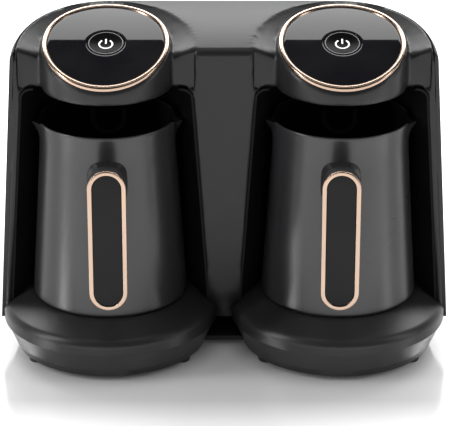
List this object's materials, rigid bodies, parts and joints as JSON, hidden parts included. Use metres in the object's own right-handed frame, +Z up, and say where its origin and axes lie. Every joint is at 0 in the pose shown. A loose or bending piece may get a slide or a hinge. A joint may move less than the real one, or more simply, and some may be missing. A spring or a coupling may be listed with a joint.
{
  "type": "twin turkish coffee maker",
  "caption": "Twin electric coffee maker: two lift-off pots with flat vertical handles in open bays under round tilted heads, each with a sprung power button.",
  "frame": {"origin": "middle of the whole machine, pots included, at the floor", "axes": "+Z up, -Y towards the user, +X to the user's right"},
  "size_m": [0.3012, 0.1458, 0.2273],
  "materials": {
    "shell": "satin charcoal",
    "cover": "satin charcoal",
    "housing": "satin charcoal",
    "base": "fine-grained charcoal",
    "bay": "matt black",
    "connector": "matt black",
    "rose_metal": "rose gold, satin",
    "panel": "gloss black",
    "lens": "gloss dark red",
    "circuit_board": "circuit board",
    "switch": "black",
    "pot_coating": "dark grey satin coating",
    "heater": "brushed",
    "grip": "black satin",
    "rubber": "matt"
  },
  "bodies": {
    "machine": {"base_chassis": "base", "base_connector_left": "connector", "base_connector_right": "connector", "base_top_left": "base", "base_top_right": "base", "bay_liner_left": "bay", "bay_liner_right": "bay", "control_board_left": "circuit_board", "control_board_right": "circuit_board", "cord_gland": "rubber", "foot_left_inner": "rubber", "foot_left_outer": "rubber", "foot_left_rear": "rubber", "foot_right_inner": "rubber", "foot_right_outer": "rubber", "foot_right_rear": "rubber", "front_housing": "housing", "head_underside_left": "bay", "head_underside_right": "bay", "power_board": "circuit_board", "rear_cover": "cover", "rear_shell": "shell", "sensor_lens_left": "lens", "sensor_lens_right": "lens", "tact_switch_left": "switch", "tact_switch_right": "switch", "top_panel_left": "panel", "top_panel_right": "panel", "trim_ring_left": "rose_metal", "trim_ring_right": "rose_metal"},
    "pot_left": {"handle_grip_left": "grip", "handle_inlay_left": "panel", "handle_trim_left": "rose_metal", "heater_plate_left": "heater", "pot_base_left": "bay", "pot_body_left": "pot_coating", "pot_socket_left": "connector"},
    "pot_right": {"handle_grip_right": "grip", "handle_inlay_right": "panel", "handle_trim_right": "rose_metal", "heater_plate_right": "heater", "pot_base_right": "bay", "pot_body_right": "pot_coating", "pot_socket_right": "connector"},
    "button_left": {"power_button_left": "panel"},
    "button_right": {"power_button_right": "panel"}
  },
  "joints": [
    {"name": "pot_lift_left", "type": "slide", "parent": "machine", "child": "pot_left", "axis": [0, 0, 1], "range_m": [0, 0.01]},
    {"name": "button_press_left", "type": "slide", "parent": "machine", "child": "button_left", "axis": [0, 0.3567, -0.9342], "range_m": [0, 0.0008], "stiffness_N_per_m": 900, "springref_m": -0.0006},
    {"name": "pot_lift_right", "type": "slide", "parent": "machine", "child": "pot_right", "axis": [0, 0, 1], "range_m": [0, 0.01]},
    {"name": "button_press_right", "type": "slide", "parent": "machine", "child": "button_right", "axis": [0, 0.3567, -0.9342], "range_m": [0, 0.0008], "stiffness_N_per_m": 900, "springref_m": -0.0006}
  ]
}
